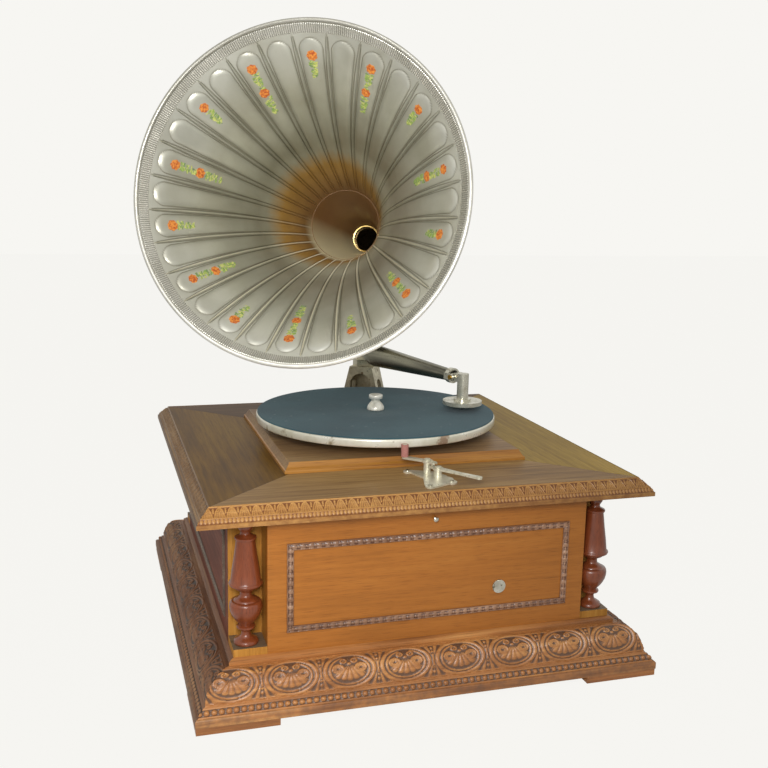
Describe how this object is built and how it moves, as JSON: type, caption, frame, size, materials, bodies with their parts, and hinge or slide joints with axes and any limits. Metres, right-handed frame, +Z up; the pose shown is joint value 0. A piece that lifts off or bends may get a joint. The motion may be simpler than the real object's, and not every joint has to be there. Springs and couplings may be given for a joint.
{
  "type": "horn gramophone",
  "caption": "Table gramophone: square carved case with corner columns, hinged lid with spring motor, turntable, tonearm, brake and a flaring swivelling horn.",
  "frame": {"origin": "on the table, under the middle of the whole gramophone's bounding box, horn included; the case's middle stands 17 mm to the right", "axes": "+Z up, the case's front faces -Y, +X to the right as seen from the front"},
  "size_m": [0.4697, 0.454, 0.5961],
  "materials": {
    "base_wood": "carved, dark varnish",
    "front_wood": "varnished",
    "side_wood": "varnished",
    "recess_wood": "varnished",
    "column_wood": "glossy varnish",
    "bead_wood": "carved",
    "lid_wood": "polished veneer",
    "cornice_wood": "carved, varnished",
    "board_wood": "varnished",
    "inner_wood": "bare",
    "nickel": "worn nickel plate",
    "arm_metal": "tarnished nickel",
    "brass": "aged",
    "steel": "plain",
    "felt": "felt",
    "pad_leather": "worn",
    "mica": "mica with rubber gaskets",
    "horn_silver": "worn silver paint with leaf transfers",
    "horn_brown": "brown lacquer"
  },
  "bodies": {
    "case": {"feet": "base_wood", "base_moulding_front": "base_wood", "base_moulding_back": "base_wood", "base_moulding_left": "base_wood", "base_moulding_right": "base_wood", "bottom_board": "inner_wood", "front_panel": "front_wood", "back_panel": "front_wood", "left_panel": "side_wood", "right_panel": "side_wood", "corner_posts": "recess_wood", "plinth_blocks": "recess_wood", "columns": "column_wood", "front_beading": "bead_wood", "side_beadings": "bead_wood", "hinge_case_leaves": "brass", "catch_spring": "steel", "crank_cover_screw": "nickel"},
    "catch": {"catch_button": "nickel"},
    "crank_cover": {"crank_hole_cover": "nickel"},
    "lid": {"lid_board": "lid_wood", "cornice_front": "cornice_wood", "cornice_back": "cornice_wood", "cornice_left": "cornice_wood", "cornice_right": "cornice_wood", "turntable_board": "board_wood", "hinge_lid_leaves": "brass", "motor_top_plate": "steel", "motor_bottom_plate": "steel", "motor_pillars": "brass", "motor_bolts": "steel", "back_bracket": "nickel", "deck_screws": "nickel", "brake_plate": "nickel"},
    "turntable": {"platter": "nickel", "platter_felt": "felt", "spindle": "steel", "spindle_gears": "brass"},
    "clamp": {"record_clamp": "nickel"},
    "intermediate": {"intermediate_arbor": "brass"},
    "barrel": {"spring_barrel": "brass", "barrel_cover": "brass", "mainspring": "steel"},
    "arbor": {"spring_arbor": "steel"},
    "winding": {"winding_shaft": "steel"},
    "governor": {"governor_spindle": "steel", "governor_balls": "brass"},
    "arm": {"tonearm": "arm_metal", "arm_yoke": "nickel", "yoke_screws": "brass"},
    "reproducer": {"sound_box": "nickel", "diaphragm": "mica", "stylus": "steel"},
    "horn": {"horn_elbow": "arm_metal", "horn_throat": "horn_brown", "horn_bell": "horn_silver", "horn_rim": "horn_silver"},
    "brake_lever": {"brake_arm": "nickel", "brake_pad": "pad_leather"},
    "brake_switch": {"brake_handle": "nickel"}
  },
  "joints": [
    {"name": "lid_open", "type": "hinge", "parent": "case", "child": "lid", "pos_m": [0.017, 0.1973, 0.172], "axis": [-1, 0, 0], "range_deg": [0, 70]},
    {"name": "catch_press", "type": "slide", "parent": "case", "child": "catch", "axis": [0, 1, 0], "range_m": [0, 0.003], "stiffness_N_per_m": 150},
    {"name": "crank_cover_swing", "type": "hinge", "parent": "case", "child": "crank_cover", "pos_m": [0.0826, -0.1945, 0.098], "axis": [0, 1, 0], "range_deg": [0, 180]},
    {"name": "turntable_spin", "type": "hinge", "parent": "lid", "child": "turntable", "pos_m": [0.017, 0, 0.21], "axis": [0, 0, 1], "continuous": true},
    {"name": "intermediate_spin", "type": "hinge", "parent": "lid", "child": "intermediate", "pos_m": [0.0421, 0.02598, 0.14], "axis": [0, 0, 1], "continuous": true},
    {"name": "barrel_spin", "type": "hinge", "parent": "lid", "child": "barrel", "pos_m": [0.0826, 0, 0.14], "axis": [0, 0, 1], "continuous": true},
    {"name": "governor_spin", "type": "hinge", "parent": "lid", "child": "governor", "pos_m": [-0.01912, 0, 0.14], "axis": [0, 0, 1], "continuous": true},
    {"name": "arbor_wind", "type": "hinge", "parent": "lid", "child": "arbor", "pos_m": [0.0826, 0, 0.12], "axis": [0, 0, 1], "continuous": true},
    {"name": "winding_turn", "type": "hinge", "parent": "lid", "child": "winding", "pos_m": [0.0826, -0.1, 0.0928], "axis": [0, 1, 0], "continuous": true},
    {"name": "clamp_lift", "type": "slide", "parent": "turntable", "child": "clamp", "axis": [0, 0, 1], "range_m": [0, 0.03]},
    {"name": "tonearm_swing", "type": "hinge", "parent": "lid", "child": "arm", "pos_m": [0.054, 0.148, 0.257], "axis": [0, 0, 1], "range_deg": [-18.5, 30]},
    {"name": "sound_box_tilt", "type": "hinge", "parent": "arm", "child": "reproducer", "pos_m": [0.10475, -0.01005, 0.257], "axis": [-0.9521, -0.3057, 0], "range_deg": [0, 75]},
    {"name": "horn_swivel", "type": "hinge", "parent": "lid", "child": "horn", "pos_m": [0.054, 0.148, 0.306], "axis": [0, 0, 1], "range_deg": [-60, 60]},
    {"name": "brake_handle_turn", "type": "hinge", "parent": "lid", "child": "brake_switch", "pos_m": [0.031, -0.161, 0.2], "axis": [0, 0, 1], "range_deg": [-17, 0]},
    {"name": "brake_arm_turn", "type": "hinge", "parent": "lid", "child": "brake_lever", "pos_m": [0.025, -0.147, 0.204], "axis": [0, 0, 1], "range_deg": [0, 19.1]}
  ],
  "couplings": [
    {"joint": "intermediate_spin", "follows": "turntable_spin", "ratio": -0.2},
    {"joint": "barrel_spin", "follows": "turntable_spin", "ratio": 0.028571},
    {"joint": "governor_spin", "follows": "turntable_spin", "ratio": -5},
    {"joint": "winding_turn", "follows": "arbor_wind", "ratio": 3},
    {"joint": "brake_arm_turn", "follows": "brake_handle_turn", "ratio": -1.12}
  ]
}
